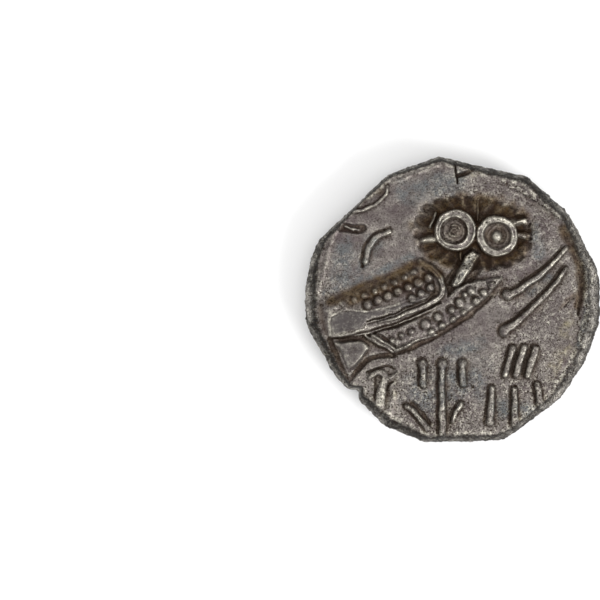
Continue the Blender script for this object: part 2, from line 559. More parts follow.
# Where the owl side is rough: the right border inside the edge, and the border at the upper right
def owlRoughness(x, y):
    right = nearness(x, y, smoothLine([(3.0, 6.7), (5.2, 5.6), (7.0, 4.1), (7.9, 2.2), (8.0, 0.2), (7.8, -2.0),
                                       (7.1, -4.0), (6.2, -5.2)]), 0.25, 1.2)
    beak = nearness(x, y, [(1.15, 2.7), (0.75, 2.0), (0.1, 0.9)], 0.7, 0.5)
    brow = np.hypot((x - 2.2) / 0.9, (y - 4.65) / 0.35)
    return np.maximum(smoothStep(1.5 - right), 0.55 * smoothStep(1.4 - np.minimum(beak, brow)))


# Height of the owl side above the table: the domed field and the sum of its layers
def owlSurface():
    face = newSheet(11)
    for carve in (carveFringe, carveOwlEyes, carveBeak, carveWing, carveBreast, carveTailAndClaw,
                  carveSprig, carveMarks, carveOwlBorder):
        carve(face)
    x, y = face["plainX"], face["plainY"]
    height = face["mass"] + blurred(face["raised"], relief["lineSoftness"]) - face["cut"]
    height = height + surfaceWear(face, 31, owlRoughness(x, y))
    level = flan["owlField"] - flan["doming"] * (x ** 2 + y ** 2) / 2 + height
    return blurred(level, relief["softness"])


# The under side. The face is planned on equal thirds, in its own frame: p forward from the brow, q up
headPlan = {
    "third": 2.75,
    "origin": (5.15, 0.25),
    "tilt": 9.0,
    "voluteCentre": (-4.4, -1.6),
    "voluteRadii": (2.1, 2.3),
    "curlCentre": (4.75, 5.2),
    "palmetteCentre": (0.5, 4.3),
}
hairline = 1.5 * headPlan["third"]
brow = 0.5 * headPlan["third"]
noseBase = -0.5 * headPlan["third"]
chin = -1.5 * headPlan["third"]
mouth = noseBase - headPlan["third"] / 3
eyeLine = brow - 0.28 * headPlan["third"]


# From the face's own frame to the sheet
def onHead(points):
    ox, oy = headPlan["origin"]
    return turned([(ox + p, oy + q) for p, q in points], headPlan["origin"], headPlan["tilt"])


# The head and neck as one plate, with the hair roll and the curl on the brow
def carveHeadMass(face):
    profile = onHead([
        (-0.1, hairline), (0.05, brow + 0.9), (0.08, brow), (-0.22, brow - 0.5), (0.5, noseBase + 1.0),
        (1.0, noseBase + 0.35), (0.75, noseBase + 0.02), (0.2, noseBase - 0.12), (0.3, mouth + 0.28),
        (0.08, mouth), (0.26, mouth - 0.3), (-0.02, mouth - 0.7), (0.16, chin + 0.55), (-0.3, chin),
        (-1.6, chin + 0.35), (-2.4, chin - 0.2)])
    rest = [(2.6, -6.6), (0.6, -7.4), (-2.3, -7.2), (-2.1, -5.0), (-2.6, -3.4), (-2.1, -1.9),
            (-3.0, 0.1), (-4.6, 1.1), (-5.8, 0.8), (-7.0, 1.6), (-6.4, 3.3), (-5.0, 5.3),
            (-3.6, 6.1), (-2.2, 5.4), (-0.7, 5.5), (1.5, 6.0), (5.0, 6.5), (5.6, 5.6)]
    plate(face, profile + rest, relief["headMass"], 0.65)
    volute = arcLine(headPlan["voluteCentre"], headPlan["voluteRadii"], 0, 345)
    plate(face, volute, relief["headMass"] - 0.1, 0.6, sharp=True)
    curlU, curlV = headPlan["curlCentre"]
    plate(face, arcLine((curlU, curlV - 0.6), (1.9, 1.75), 0, 345), relief["headMass"] - 0.15, 0.4, sharp=True)


# Eye, brow, nose wing, lips, jaw and ear, each a line or two in the face's own frame
def carveFeatures(face):
    cornerFront = onHead([(-0.62, eyeLine - 0.02)])[0]
    cornerBack = onHead([(-2.15, eyeLine + 0.05)])[0]
    upperLid = onHead([(-0.6, eyeLine - 0.02), (-1.1, eyeLine + 0.38), (-1.7, eyeLine + 0.3),
                       (-2.3, eyeLine - 0.02)])
    lowerLid = onHead([(-0.65, eyeLine - 0.05), (-1.2, eyeLine - 0.34), (-1.75, eyeLine - 0.22),
                       (-2.2, eyeLine)])
    browLine = onHead([(-0.35, brow - 0.18), (-1.2, brow + 0.12), (-2.1, brow + 0.02), (-2.8, brow - 0.4)])
    groove(face, [cornerFront, cornerBack], 1.0, 0.13, 0.6)
    ridge(face, upperLid, 0.16, 0.13, 0.1, moat=0)
    ridge(face, lowerLid, 0.14, 0.12, 0.08, moat=0)
    pellet(face, onHead([(-1.3, eyeLine)])[0], 0.27, 0.11, moat=0)
    groove(face, [(u, v - 0.2) for u, v in browLine], 0.34, 0.1)
    ridge(face, browLine, 0.2, 0.1, 0.1, moat=0)
    noseWing = onHead([(0.12, noseBase + 0.1), (-0.2, noseBase + 0.18), (-0.34, noseBase + 0.5),
                       (-0.15, noseBase + 0.75)])
    groove(face, noseWing, 0.18, 0.1)
    groove(face, onHead([(0.2, mouth), (-0.45, mouth + 0.03), (-1.0, mouth - 0.05)]), 0.16, 0.12, 0.08)
    hollow(face, onHead([(-0.25, mouth - 0.72)])[0], 0.4, 0.08)
    groove(face, onHead([(-1.2, noseBase + 0.1), (-1.35, mouth + 0.2)]), 0.2, 0.05)
    jaw = onHead([(-0.5, chin + 0.05), (-2.0, chin + 0.55), (-3.5, mouth - 0.1), (-4.3, noseBase + 0.2)])
    groove(face, jaw, 0.35, 0.12, 0.2)
    ear = onHead([(-4.6, noseBase + 0.1), (-4.45, 0.0), (-4.75, brow - 0.3), (-5.4, brow - 0.2),
                  (-5.7, 0.35), (-5.2, -0.5), (-4.9, noseBase + 0.05)])
    ridge(face, ear, 0.24, 0.0, moat=0.14)


# The crest's bars on their band, the leaves at the back, the nested petals and the curl
def carveHelmet(face):
    visor = [(-1.9, 4.7), (-0.7, 5.0), (1.0, 5.45), (3.0, 5.85), (5.1, 6.3)]
    groove(face, [(u, v - 0.45) for u, v in visor], 0.26, 0.14)
    groove(face, [(u, v + 0.4) for u, v in visor], 0.26, 0.14)
    for index, lean in enumerate((0.62, 0.5, 0.42, 0.3, 0.2, 0.12)):
        foot = (-1.9 + 0.83 * index, 5.3 + 0.17 * index)
        ridge(face, [foot, (foot[0] - lean, foot[1] + 1.5)], 0.42, 0.34, 0.24)
        beside = [(foot[0] + 0.32, foot[1] + 0.15), (foot[0] + 0.34 - lean, foot[1] + 1.3)]
        ridge(face, beside, 0.16, 0.2, 0.1, 0, roundTop)
    leaves = ([(-4.8, 5.5), (-3.9, 5.7), (-3.1, 5.0), (-2.2, 3.9)],
              [(-4.1, 5.3), (-3.4, 4.6), (-2.7, 3.5)],
              [(-4.0, 4.6), (-3.7, 3.8), (-3.35, 3.0)],
              [(-4.9, 4.5), (-4.7, 3.6), (-4.45, 2.65)],
              [(-5.4, 3.7), (-5.1, 3.1), (-4.6, 2.3)],
              [(-6.1, 3.0), (-5.5, 2.0), (-4.8, 1.4)])
    for leaf in leaves:
        ridge(face, leaf, 0.34, 0.1, 0.44, moat=0.15)
    for scale in (1.0, 0.72, 0.44):
        petal = arcLine(headPlan["palmetteCentre"], (1.85 * scale, 2.6 * scale), 190, 352, 12)
        ridge(face, turned(petal, headPlan["palmetteCentre"], 12), 0.3, 0.0, moat=0.14)
    for scale in (1.0, 0.62, 0.28):
        curl = arcLine(headPlan["curlCentre"], (1.55 * scale, 2.05 * scale), 180, 355, 12)
        ridge(face, turned(curl, headPlan["curlCentre"], 14), 0.38, 0.07, moat=0.13)


# The hair roll's border, its few lines, and the locks over the ear
def carveHair(face):
    border = [(-6.5, 0.2), (-5.5, 0.85), (-4.5, 1.15), (-3.6, 0.5), (-2.75, -0.5), (-2.1, -1.7),
              (-2.3, -2.8), (-3.2, -3.65), (-4.3, -3.9)]
    ridge(face, border, 0.26, 0.06, moat=0.12)
    for step in range(4):
        start = (-6.15 + 0.36 * step, -1.75 - 0.38 * step)
        groove(face, [start, (start[0] + 1.7, start[1] - 0.95)], 0.16, 0.14)
    groove(face, [(-4.5, 0.2), (-4.1, -0.9), (-3.6, -1.9)], 0.2, 0.12)
    pellet(face, (-6.85, -0.7), 0.2, 0.3)
    for step in range(5):
        start = (-2.1 + 0.5 * step, 1.5 + 0.1 * step)
        groove(face, [start, (start[0] - 0.35, start[1] - 1.1), (start[0] - 0.1, start[1] - 2.2)], 0.16, 0.12)


# Ear ring, neck pellets and lines, and two plain nicks in the cheek and neck
def carveOrnaments(face):
    ringCentre = (-0.95, -3.0)
    ring(face, ringCentre, 0.66, 0.62, 0.14, layer="cut")
    ring(face, ringCentre, 0.66, 0.24, 0.14)
    for step, v in enumerate((-4.25, -5.1, -5.95)):
        pellet(face, (-0.85 - 0.14 * step, v), 0.26, 0.06, 0.12)
    for shift in (0.0, -0.32):
        groove(face, [(-1.65 + shift, -4.0), (-1.75 + shift, -5.5), (-2.05 + shift, -7.0)], 0.16, 0.12)
    ridge(face, [(-3.5, -5.8), (-2.5, -6.2)], 0.2, 0.15)
    pellet(face, (-3.0, -6.8), 0.2, 0.15)
    for head, foot in (((3.0, -1.0), (2.7, -2.4)), ((1.5, -3.7), (1.1, -5.3))):
        groove(face, [head, foot], 0.2, 0.13)
        ring(face, head, 0.05, 0.34, 0.13, layer="cut")


# Height of the under side above the table, on its own sheet (u, v); the highest relief is worn flat
def headSurface():
    face = newSheet(71)
    for carve in (carveHeadMass, carveFeatures, carveHelmet, carveHair, carveOrnaments):
        carve(face)
    x, y = face["plainX"], face["plainY"]
    worn = flan["headField"] + flan["doming"] * (x ** 2 + y ** 2) - face["mass"]
    worn = np.maximum(worn, 0)
    level = worn - face["raised"] + face["cut"] - surfaceWear(face, 91, 0.12)
    return np.maximum(blurred(level, relief["softness"]), 0)


# Distance from the centre to the edge: the nearest of the round and the flats, softly joined
def flanRadius(angle):
    reach = [np.full_like(angle, flan["radius"])]
    for direction, distance in flan["flats"]:
        reach.append(distance / np.maximum(np.cos(angle - math.radians(direction)), 0.5))
    pull = np.exp(-flan["flatSharpness"] * (np.array(reach) - flan["radius"])).sum(axis=0)
    radius = flan["radius"] - np.log(pull) / flan["flatSharpness"]
    away = (np.degrees(angle) - flan["crackDirection"] + 180) % 360 - 180
    return radius - flan["crackDepth"] * np.exp(-(away / flan["crackWidth"]) ** 2)


# How far the owl side stands back from the edge in a direction
def owlInset(angle):
    directions, insets = zip(*flan["owlInset"])
    return np.interp(np.degrees(angle) % 360, directions, insets, period=360)


# Reads a sheet between its points: the four nearest, weighted by how near each is
def readSheet(height, x, y):
    gx = np.clip((x + sheet["half"]) / sheet["pitch"], 0, height.shape[1] - 1.001)
    gy = np.clip((y + sheet["half"]) / sheet["pitch"], 0, height.shape[0] - 1.001)
    ix, iy = gx.astype(int), gy.astype(int)
    fx, fy = gx - ix, gy - iy
    low = height[iy, ix] * (1 - fx) + height[iy, ix + 1] * fx
    high = height[iy + 1, ix] * (1 - fx) + height[iy + 1, ix + 1] * fx
    return low * (1 - fy) + high * fy


# The coin as one skin. Each face is a square grid drawn into a disc, and the edge is a band of rows
# that join the two rims: place = share of the reach in that direction, height between the two faces
def coinSkin(owlSheet, headSheet):
    cuts, rows = finish["gridCuts"], finish["edgeRows"]
    axis = np.linspace(-1, 1, cuts + 1)
    a, b = np.meshgrid(axis, axis)
    discX, discY = a * np.sqrt(1 - b ** 2 / 2), b * np.sqrt(1 - a ** 2 / 2)
    number = np.arange((cuts + 1) ** 2).reshape(cuts + 1, cuts + 1)
    rim = np.concatenate((number[0, :-1], number[:-1, -1], number[-1, :0:-1], number[:0:-1, 0]))
    faceX, faceY = discX.ravel(), discY.ravel()
    rimX, rimY = faceX[rim], faceY[rim]

    levels = np.concatenate((np.ones(faceX.size), np.repeat(np.linspace(1, -1, rows + 1)[1:-1], rim.size),
                             -np.ones(faceX.size)))
    allX = np.concatenate((faceX, np.tile(rimX, rows - 1), faceX))
    allY = np.concatenate((faceY, np.tile(rimY, rows - 1), faceY))
    reach, angle = np.hypot(allX, allY), np.arctan2(allY, allX)
    edge, inset = flanRadius(angle), owlInset(angle)
    headInset = flan["headInset"]

    owlReach, headReach = reach * (edge - inset), reach * (edge - headInset)
    high = readSheet(owlSheet, owlReach * np.cos(angle), owlReach * np.sin(angle))
    low = readSheet(headSheet, headReach * np.cos(angle), -headReach * np.sin(angle))
    above = np.clip(levels, 0, 1) ** flan["edgeRounding"]
    below = np.clip(-levels, 0, 1) ** flan["edgeRounding"]
    plan = reach * (edge - inset * above - headInset * below)
    onEdge = (1 - levels ** 2) * (np.abs(levels) < 1)
    streaks = latticeNoise(angle * 8.3 + levels * 0.5, levels * 1.1, 0.34, 5)
    chunks = layeredNoise(angle * 8.3, levels * 1.3, 0.24, 6)
    plan = plan + onEdge * (0.035 * streaks + 0.045 * chunks)
    z = low + (high - low) * (levels + 1) / 2
    points = np.column_stack((plan * np.cos(angle), plan * np.sin(angle), z))

    size = faceX.size
    owlQuads = np.stack((number[:-1, :-1], number[:-1, 1:], number[1:, 1:], number[1:, :-1]), -1).reshape(-1, 4)
    headQuads = owlQuads[:, ::-1] + size + (rows - 1) * rim.size
    bands = [rim] + [size + row * rim.size + np.arange(rim.size) for row in range(rows - 1)]
    bands.append(rim + size + (rows - 1) * rim.size)
    edgeQuads = [np.stack((upper, lower, np.roll(lower, -1), np.roll(upper, -1)), -1)
                 for upper, lower in zip(bands, bands[1:])]
    return points, np.concatenate([owlQuads, headQuads] + edgeQuads)


# Four-cornered faces from whole arrays
def meshFrom(name, points, quads):
    mesh = bpy.data.meshes.new(name)
    mesh.vertices.add(len(points))
    mesh.vertices.foreach_set("co", points.astype(np.float32).ravel())
    mesh.loops.add(quads.size)
    mesh.loops.foreach_set("vertex_index", quads.astype(np.int32).ravel())
    mesh.polygons.add(len(quads))
    mesh.polygons.foreach_set("loop_start", np.arange(0, quads.size, 4, dtype=np.int32))
    mesh.update(calc_edges=True)
    return mesh


# The skin is thinned, its looks are read from the full drawing sheets, and it is centred on the table
def makeCoin():
    owlSheet = owlSurface()
    print("owl side drawn")
    headSheet = headSurface()
    print("head side drawn")
    points, quads = coinSkin(owlSheet, headSheet)
    outline = np.linspace(0, 2 * math.pi, 2000)
    rimX, rimY = flanRadius(outline) * np.cos(outline), flanRadius(outline) * np.sin(outline)
    middle = np.array([(rimX.min() + rimX.max()) / 2, (rimY.min() + rimY.max()) / 2])

    fine = bpy.data.objects.new("fineCoin", meshFrom("fineCoin", points, quads))
    bpy.context.scene.collection.objects.link(fine)
    thin = fine.modifiers.new("fewerFaces", "DECIMATE")
    thin.ratio = finish["triangles"] / (2 * len(quads))
    thin.use_collapse_triangulate = True
    mesh = bpy.data.meshes.new_from_object(fine.evaluated_get(bpy.context.evaluated_depsgraph_get()))
    mesh.name = "silverCoin"
    bpy.data.objects.remove(fine)
    print("coin thinned to", len(mesh.polygons), "faces")

    corners = np.empty(len(mesh.vertices) * 3)
    mesh.vertices.foreach_get("co", corners)
    corners = corners.reshape(-1, 3)
    writeLooks(mesh, corners, owlSheet, headSheet)
    corners[:, :2] -= middle
    corners[:, 2] = np.maximum(corners[:, 2], 0)
    mesh.vertices.foreach_set("co", (corners * millimetre).ravel())
    mesh.update()
    mesh.shade_smooth()
    coin = bpy.data.objects.new("silverCoin", mesh)
    bpy.context.scene.collection.objects.link(coin)
    coin.data.materials.append(tonedSilver())
    return coin


# Soft-bordered patch along a line, its border made irregular by noise
def patch(x, y, line, width, seed, endWidth=None):
    near = nearness(x, y, line, width, endWidth or width)
    return smoothStep(1.25 - near + 0.25 * layeredNoise(x, y, 0.6, seed))


valley = smoothLine([(6.35, 4.0), (6.95, 2.78), (7.3, 1.9), (7.36, 1.0), (7.28, 0.3), (7.15, -0.3)])

# Where the faces are stained or rubbed: line, width of the patch, width at its end, number of its border
stains = {
    "beak": ([(1.1, 2.65), (1.0, 2.45), (0.7, 1.95), (0.37, 1.38), (-0.05, 0.8)], 0.85, 0.45, 49),
    "brow": (arcLine(owlHead["rightEye"], (1.03, 1.03), 45, 150, 9), 0.34, 0.34, 65),
    "panelEnd": ([(-7.1, -0.75), (-7.16, -1.3), (-7.02, -2.06)], 0.12, 0.12, 48),
    "talon": ([(-4.0, -4.5), (-4.06, -4.95), (-4.14, -5.4), (-4.2, -5.9)], 0.4, 0.55, 71),
    "wingFlank": (smoothLine([(-7.1, -0.1), (-5.0, 0.72), (-3.4, 1.35), (-2.0, 2.1), (-0.9, 1.5)]),
                  0.72, 0.72, 41),
    "wingPellets": ([(-5.9, 0.0), (-3.5, 0.75), (-1.7, 1.4)], 1.2, 1.2, 63),
    "wingSoot": ([(-6.9, -0.1), (-5.0, 0.5), (-3.4, 1.1), (-2.2, 1.7)], 0.5, 0.5, 73),
    "valley": (valley, 0.8, 0.6, 42),
    "valleyMouth": ([(7.2, 0.4), (6.6, 0.0), (6.1, -0.5)], 0.6, 0.3, 69),
    "valleySoot": ([(px + 0.18, py) for px, py in valley[4:-9]], 0.3, 0.2, 72),
    "yellowRight": ([(6.9, -0.9), (6.4, -2.6), (5.7, -4.3)], 0.9, 0.9, 43),
    "yellowClaw": ([(-3.3, -4.2), (-3.5, -6.2)], 0.4, 0.4, 44),
    "yellowTop": ([(1.1, 7.2), (1.5, 7.3)], 0.3, 0.3, 46),
    # on the head side's own sheet
    "crestSoil": ([(-4.2, 6.2), (-1.0, 6.9), (3.0, 7.0), (5.6, 5.6)], 2.0, 2.0, 81),
    "cheekFrost": ([(-0.4, -0.5), (0.8, -4.0)], 4.2, 4.2, 78),
    "crownFrost": ([(0.3, 3.2), (-1.5, 2.0)], 2.2, 2.2, 79),
}

# Bluish clouds on the owl side: line and width
blueClouds = (
    ([(-1.6, -5.2), (0.8, -4.6)], 3.0), ([(-6.4, 1.3), (-6.2, 3.0)], 1.4), ([(-0.5, -2.9), (1.6, -2.4)], 0.9),
    ([(2.6, -6.2), (4.4, -6.3)], 1.2), ([(-5.3, 2.0), (-4.6, 3.2)], 1.2), ([(-2.6, 6.2), (0.2, 6.9)], 1.6),
    ([(4.4, 0.6), (5.4, 1.3)], 0.9), ([(4.6, 4.2), (4.9, 2.6)], 0.8),
    ([(-7.4, 0.35), (-4.5, 1.5), (-2.4, 2.5)], 0.5),
    ([(1.0, 2.4), (0.1, 0.9)], 0.7), ([(7.2, 3.0), (7.66, 1.8), (7.74, 0.6), (7.6, -1.0), (7.2, -2.6)], 0.4))

# Looks that change round the border, by direction in degrees
border = {
    # how bright the line is where the owl side meets the edge
    "lineShare": ((0, 0.9), (90, 0.8), (125, 0.9), (150, 0.3), (165, 0.1), (205, 0.2), (235, 0.9), (295, 0.9),
                  (330, 0.7)),
    # the edge's rubbed band: how bright, and where between the face (0) and the widest line (1)
    "rimShare": ((0, 1), (14, 1), (26, 0.5), (60, 0.35), (85, 0.45), (120, 0.45), (170, 0.6), (215, 0.8),
                 (228, 0.35), (262, 0.25), (285, 0.25), (310, 0.6), (340, 1)),
    "rimPlace": ((0, 0.5), (20, 0.6), (45, 0.85), (100, 0.85), (170, 0.8), (215, 0.9), (250, 0.85), (300, 0.6)),
}


def stain(name, x, y):
    line, width, endWidth, seed = stains[name]
    return patch(x, y, line, width, seed, endWidth)


def roundTheBorder(name, turns):
    directions, values = zip(*border[name])
    return np.interp(turns, directions, values, period=360)


# How sunk, how proud and how hollow a sheet is at each point: its height against its own soft blur,
# near by and over a wider reach
def reliefLooks(surface, sign, x, v):
    close = sign * (blurred(surface, 0.075) - surface)
    wide = sign * (blurred(surface, 0.3) - surface)
    layers = (np.clip(close / 0.075, 0, 1) ** 1.2 + 0.45 * np.clip(wide / 0.18, 0, 1),
              0.75 * np.clip(-close / 0.065, 0, 1) ** 1.5 + 0.2 * np.clip(-wide / 0.2, 0, 1),
              smoothStep(wide / 0.1 - 0.1))
    return [readSheet(layer, x, v) for layer in layers]


# The fringe: brown earth all over it, soot in the middle of each feather, pale ridges between them
def fringeLooks(x, y):
    reach = np.hypot((x - 1.1) / 3.5, (y - 3.85) / 2.3)
    earth = smoothStep((1.12 - reach + 0.1 * layeredNoise(x, y, 0.6, 40)) / 0.3)
    lobes, partings = np.full(x.shape, 9.0), np.full(x.shape, 9.0)
    for lobe in range(owlHead["lobes"]):
        lobeX, lobeY = fringePoints(0.85, [(lobe + 0.5) / owlHead["lobes"]])[0]
        lobes = np.minimum(lobes, np.hypot(x - lobeX, y - lobeY) / (0.38 + 0.07 * math.sin(5 * lobe)))
        root, tip = [fringePoints(scale, [lobe / owlHead["lobes"]])[0] for scale in (0.7, 1.0)]
        partings = np.minimum(partings, nearness(x, y, [root, tip], 0.12, 0.2))
    partings = smoothStep(1.6 - partings) * (0.3 + 0.4 * layeredNoise(x, y, 0.9, 74))
    shaded = smoothStep(1.4 - lobes + 0.3 * layeredNoise(x, y, 0.3, 70))
    shaded = shaded * (0.5 + 0.5 * smoothStep((3.6 - y) / 2))
    return earth, partings, shaded


# Lines and forms on the owl side that are rubbed bright: eye rings, beak, brow, rays and the panel's outline
def rubbedLooks(x, y, eyes, beak, rays):
    innerEye = np.hypot(x - owlHead["leftEye"][0] + 0.08, y - owlHead["leftEye"][1] + 0.04)
    lines = [smoothStep(1.4 - np.abs(gap - radius) / 0.07)
             for gap, radius in ((eyes[0], 1.13), (innerEye, 0.84), (eyes[1], 1.13), (eyes[1], 0.87))]
    panelLine = np.abs(depthInside(x, y, owlPlates["panel"]))
    panelLine = 0.6 * smoothStep((0.1 - panelLine) / 0.06) * (0.6 + layeredNoise(x, y, 0.5, 80))
    panelEnd = np.maximum(1.6 * stain("panelEnd", x, y), panelLine)
    return np.max(lines + [beak, rays, stain("brow", x, y), panelEnd], axis=0), panelEnd


# Per-point looks from 0 to 1, written as attributes that the material reads
def writeLooks(mesh, corners, owlSheet, headSheet):
    x, y, z = corners.T
    angle, reach = np.arctan2(y, x), np.hypot(x, y)
    turns = np.degrees(angle) % 360
    edge = flanRadius(angle)
    upward = z > (flan["owlField"] + flan["headField"]) / 2
    inset = np.where(upward, owlInset(angle), flan["headInset"])
    inward = (reach - (edge - inset)) / inset
    onEdge = smoothStep(inward / 0.3 + 0.4 + 0.4 * latticeNoise(x, y, 0.25, 3))
    onEdge = np.where((z > 0.9) & (z < 2.2), 1, onEdge)
    owl, head = reliefLooks(owlSheet, 1, x, y), reliefLooks(headSheet, -1, x, -y)
    sunk, proud, hollowed = [np.where(upward, above, below) * (1 - onEdge) for above, below in zip(owl, head)]

    # brown earth: the owl's fringe, the wing's upper flank, the valley inside the right border
    brown, partings, shaded = fringeLooks(x, y)
    eyes = [np.hypot(x - ex, y - ey) for ex, ey in (owlHead["leftEye"], owlHead["rightEye"])]
    beak = stain("beak", x, y)
    rays = np.max([patch(x, y, ray[:2], 0.8 * ray[2], 62, 0.8 * ray[3]) for ray in owlHead["rays"]], axis=0)
    brown *= smoothStep((eyes[0] - 1.13) / 0.12) * smoothStep((eyes[1] - 1.13) / 0.12)
    brown *= (1 - beak) * (1 - 0.8 * rays)
    pupils = smoothStep((0.78 - np.minimum(*eyes)) / 0.1) * smoothStep((eyes[1] - 0.3) / 0.05)
    brown = np.maximum(brown, 0.4 * pupils)
    proud = proud * (1 - 0.2 * brown * upward)
    for name, share in (("wingFlank", 1), ("valley", 0.8), ("valleyMouth", 0.45)):
        brown = np.maximum(brown, share * stain(name, x, y))
    brown = np.maximum(brown, 0.95 * stain("wingPellets", x, y) * (1 - 0.8 * proud))
    deep = smoothStep((z - 0.25) / 0.3) * (1 - upward)                     # the sunk ground of the head side
    wornFlat = smoothStep((0.2 - z) / 0.15) * (1 - upward)                 # and its high, rubbed parts
    brown = np.where(upward, brown, 0.1 + 0.4 * deep + 0.3 * layeredNoise(x, y, 1.5, 45))
    brown = np.maximum(brown, 0.6 * hollowed)

    # bright, rubbed metal on what stands proud, and along the line where the owl side meets the edge
    rubbed, panelEnd = rubbedLooks(x, y, eyes, beak, rays)
    speckle = 0.55 + 0.8 * layeredNoise(x, y, 0.2, 39)
    quiet = 1 - 0.3 * smoothStep(-1 - 0.8 * y + 0.5 * x)          # the strokes are less rubbed than the owl
    shine = proud * quiet * np.clip(speckle + 0.35, 0, 1) + 1.35 * rubbed * speckle * (1 - 0.8 * sunk)
    proud = np.maximum(np.where(upward, shine, proud), partings * upward)
    sunk *= 1 - 0.9 * rays
    proud = np.maximum(proud, np.maximum(rays, np.clip(panelEnd, 0, 1)) * (0.65 + 0.4 * speckle) * upward)
    proud = np.maximum(proud, upward * smoothStep((0.4 - np.hypot(x - 2.52, y - 3.6)) / 0.2))
    proud = np.maximum(proud, 0.7 * stain("talon", x, y) * upward * (0.7 + 0.6 * speckle))

    # soot, darker than the earth: in the feathers, under the wing's flank, on the head side's ground
    soot = np.maximum(shaded * upward * (1 - rubbed) * (1 - proud), 0.5 * stain("valleySoot", x, y) * upward)
    soot = np.maximum(soot, 0.5 * stain("wingSoot", x, y) * (1 - proud) * upward)
    headSoil = 0.25 + 0.5 * layeredNoise(x, y, 2.0, 82) + 0.5 * stain("crestSoil", x, -y)
    headSoil += 0.4 * smoothStep((reach - 6.9) / 1.2)
    soot = np.maximum(soot, np.maximum(deep * headSoil, 0.5 * hollowed * (1 - upward)) * (1 - proud))
    meeting = np.exp(-((reach - (edge - inset) + 0.06) / 0.09) ** 2) * roundTheBorder("lineShare", turns)
    meeting = meeting * (0.6 + layeredNoise(x, y, 0.3, 61))
    proud = np.maximum(proud, np.where(np.abs(z - 1.6) > 0.5, meeting, 0))

    # clouds of yellow and blue, and how rough the surface is: the lower right is the coarser side
    yellow = np.max([stain(name, x, y) for name in ("yellowRight", "yellowClaw", "yellowTop")], axis=0)
    yellow = 0.85 * yellow * (0.65 + layeredNoise(x, y, 0.5, 38))
    yellow = np.where(upward, yellow, 0.35 * smoothStep(layeredNoise(x, y, 2.2, 47)))
    blue = np.max([patch(x, y, line, width, 50 + k) for k, (line, width) in enumerate(blueClouds)], axis=0)
    headBlue = np.clip(0.5 * wornFlat + smoothStep(2 * layeredNoise(x, y, 2.4, 60)), 0, 1)
    blue = np.where(upward, blue, headBlue)
    grainy = 0.12 + 0.022 * (x - y) + 0.2 * layeredNoise(x, y, 2.8, 75)
    frosted = stain("cheekFrost", x, -y) + stain("crownFrost", x, -y)
    rough = np.where(upward, np.maximum(owlRoughness(x, y), grainy), 0.1 + 0.45 * np.clip(frosted, 0, 1))
    rough = np.maximum(rough, 0.6 * onEdge)

    rim = np.exp(-((inward - roundTheBorder("rimPlace", turns)) / 0.27) ** 2)
    rim = rim * roundTheBorder("rimShare", turns) * (0.9 + 0.8 * layeredNoise(x, y, 0.5, 64))
    rim = np.where(z > 2, rim, 0.4 + 0.25 * layeredNoise(8 * angle, 1.2 * z, 0.8, 76))
    panel, tail = [smoothStep((depthInside(x, y, outline) - 0.02) / 0.14) for outline in owlPlates.values()]
    calm = np.maximum(panel, 0.7 * tail) * upward + wornFlat * (0.45 + 0.4 * layeredNoise(x, y, 1.8, 77))
    layers = {"sunk": sunk, "proud": proud, "calm": calm, "brown": brown, "soot": soot, "yellow": yellow,
              "blue": blue, "rough": rough, "edge": onEdge, "rim": rim}
    for name, values in layers.items():
        layer = mesh.attributes.new(name, "FLOAT", "POINT")
        layer.data.foreach_set("value", np.clip(values, 0, 1).astype(np.float32))


# Old silver: grey toning with bluish and purplish clouds, bright where it is worn, dark in the
# recesses and on the rough edge, brown earth in the owl's fringe. Colours are red, green, blue of 255
silver = {
    "field": (104, 98, 95),
    "blueCloud": (92, 94, 95),
    "purpleCloud": (86, 78, 78),
    "worn": (205, 200, 186),
    "recess": (38, 29, 20),
    "lightField": (127, 121, 116),
    "calm": (72, 68, 68),
    "brown": (94, 76, 46),
    "darkBrown": (56, 37, 20),
    "soot": (30, 19, 10),
    "gold": (136, 124, 100),
    "yellow": (146, 138, 112),
    "edge": (19, 18, 17),
    "rim": (165, 160, 153),
    "metallic": 0.92,
    "roughness": 0.33,
}


def tone(name):
    return [(part / 255) ** 2.2 for part in silver[name]] + [1]


def addNode(tree, kind, **values):
    node = tree.nodes.new(kind)
    for name, value in values.items():
        setattr(node, name, value)
    return node


def mixColours(tree, share, first, second, blend="MIX"):
    mix = addNode(tree, "ShaderNodeMix", data_type="RGBA", blend_type=blend)
    for socket, value in ((mix.inputs[0], share), (mix.inputs[6], first), (mix.inputs[7], second)):
        if isinstance(value, bpy.types.NodeSocket):
            tree.links.new(value, socket)
        else:
            socket.default_value = value
    return mix.outputs[2]


def combine(tree, operation, first, second, clamp=False):
    node = addNode(tree, "ShaderNodeMath", operation=operation, use_clamp=clamp)
    for socket, value in zip(node.inputs, (first, second)):
        if isinstance(value, bpy.types.NodeSocket):
            tree.links.new(value, socket)
        else:
            socket.default_value = value
    return node.outputs[0]


def noiseOf(tree, place, scale, detail, roughness=0.6):
    node = addNode(tree, "ShaderNodeTexNoise")
    node.inputs["Scale"].default_value = scale
    node.inputs["Detail"].default_value = detail
    node.inputs["Roughness"].default_value = roughness
    tree.links.new(place, node.inputs["Vector"])
    return node.outputs["Fac"]


def spreadOut(tree, value, low, high):
    node = addNode(tree, "ShaderNodeMapRange")
    node.inputs["From Min"].default_value = low
    node.inputs["From Max"].default_value = high
    tree.links.new(value, node.inputs["Value"])
    return node.outputs["Result"]


def readLayer(tree, name):
    node = addNode(tree, "ShaderNodeAttribute", attribute_name=name)
    return node.outputs["Fac"]


